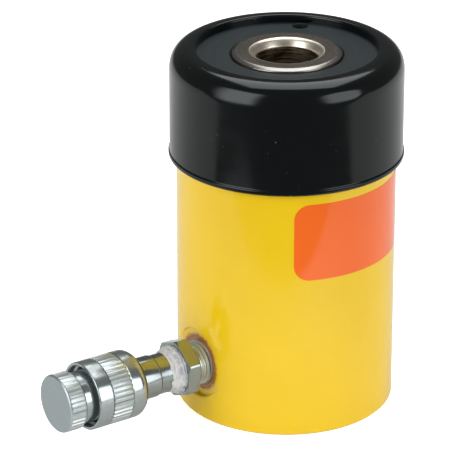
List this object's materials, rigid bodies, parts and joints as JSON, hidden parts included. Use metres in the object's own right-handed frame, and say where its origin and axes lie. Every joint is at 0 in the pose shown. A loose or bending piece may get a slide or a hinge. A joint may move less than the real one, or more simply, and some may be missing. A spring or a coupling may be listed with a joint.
{
  "type": "hollow plunger cylinder",
  "caption": "Spring-returned hydraulic cylinder with a hollow plunger, a slip-on black thread protector, and a side port with a coupler half and knurled dust cap.",
  "frame": {"origin": "middle of the through hole at the foot of the base", "axes": "+Z along the plunger as it extends, port and coupler towards -X"},
  "size_m": [0.1253, 0.075, 0.1194],
  "materials": {
    "yellow_enamel": "gloss baked enamel",
    "tube_steel": "drawn steel",
    "seal_rubber": "black rubber",
    "blackened_steel": "blackened steel",
    "bearing_bronze": "bronze",
    "spring_steel": "oiled spring wire",
    "plated_steel": "bright plating",
    "sealant_white": "dried paste",
    "plunger_steel": "turned and plated steel",
    "seal_blue": "polyurethane",
    "backup_white": "white plastic",
    "wear_brown": "filled plastic",
    "protector_black": "moulded plastic"
  },
  "bodies": {
    "cylinder": {"cylinder_body": "yellow_enamel", "centre_tube": "tube_steel", "tube_sealing_ring": "seal_rubber", "gland_nut": "blackened_steel", "gland_bearing": "bearing_bronze", "plunger_wiper": "seal_rubber", "return_spring": "spring_steel", "port_adapter": "plated_steel", "thread_sealant": "sealant_white", "coupler_body": "plated_steel", "valve_seat": "bearing_bronze", "valve_spring": "spring_steel", "nose_seal": "seal_rubber"},
    "plunger": {"plunger": "plunger_steel", "piston": "plunger_steel", "piston_seal": "seal_blue", "piston_backup_ring": "backup_white", "piston_wear_ring": "wear_brown", "inner_seal": "seal_blue", "inner_backup_ring": "backup_white"},
    "thread_protector": {"thread_protector": "protector_black"},
    "coupler_collar": {"coupler_collar": "plated_steel"},
    "cap_carriage": {"dust_cap_disc": "seal_rubber"},
    "dust_cap": {"dust_cap": "plated_steel"},
    "valve_poppet": {"valve_poppet": "tube_steel"}
  },
  "joints": [
    {"name": "plunger_slide", "type": "slide", "parent": "cylinder", "child": "plunger", "axis": [0, 0, 1], "range_m": [0, 0.042], "stiffness_N_per_m": 2000, "springref_m": -0.03, "deforming": ["return_spring"]},
    {"name": "protector_lift", "type": "slide", "parent": "cylinder", "child": "thread_protector", "axis": [0, 0, 1], "range_m": [0, 0.06]},
    {"name": "collar_turn", "type": "hinge", "parent": "cylinder", "child": "coupler_collar", "pos_m": [-0.0676, 0, 0.019], "axis": [-1, 0, 0], "continuous": true},
    {"name": "cap_slide", "type": "slide", "parent": "cylinder", "child": "cap_carriage", "axis": [-1, 0, 0], "range_m": [0, 0.0135]},
    {"name": "cap_turn", "type": "hinge", "parent": "cap_carriage", "child": "dust_cap", "pos_m": [-0.08, 0, 0.019], "axis": [-1, 0, 0], "range_deg": [0, 3240]},
    {"name": "valve_slide", "type": "slide", "parent": "cylinder", "child": "valve_poppet", "axis": [1, 0, 0], "range_m": [0, 0.0025], "stiffness_N_per_m": 400, "springref_m": -0.004, "deforming": ["valve_spring"]}
  ],
  "couplings": [
    {"joint": "cap_slide", "follows": "cap_turn", "m_per_rad": 0.00023873}
  ]
}
